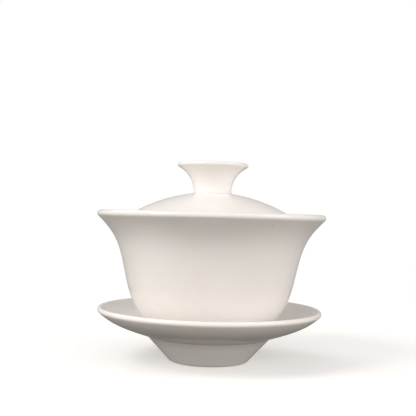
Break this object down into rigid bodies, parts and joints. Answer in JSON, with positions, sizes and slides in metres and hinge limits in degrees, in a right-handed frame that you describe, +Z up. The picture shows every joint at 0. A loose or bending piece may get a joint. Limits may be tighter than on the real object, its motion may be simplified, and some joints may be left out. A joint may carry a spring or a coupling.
{
  "type": "gaiwan",
  "caption": "White porcelain lidded tea bowl with a flared rim, a domed lid with a ring knob, and a saucer on a high conical foot.",
  "frame": {"origin": "middle of the saucer's foot ring, on the surface that it stands on", "axes": "+Z up along the axis that the bowl, lid and saucer are turned about"},
  "size_m": [0.1, 0.1, 0.0867],
  "materials": {
    "white_glaze": "gloss"
  },
  "bodies": {
    "saucer": {"saucer_plate": "white_glaze", "saucer_foot": "white_glaze"},
    "bowl": {"bowl": "white_glaze"},
    "lid": {"lid_dome": "white_glaze", "lid_knob": "white_glaze"}
  },
  "joints": [
    {"name": "bowl_lift", "type": "slide", "parent": "saucer", "child": "bowl", "axis": [0, 0, 1], "range_m": [0, 0.08]},
    {"name": "lid_lift", "type": "slide", "parent": "bowl", "child": "lid", "axis": [0, 0, 1], "range_m": [0, 0.07]}
  ]
}
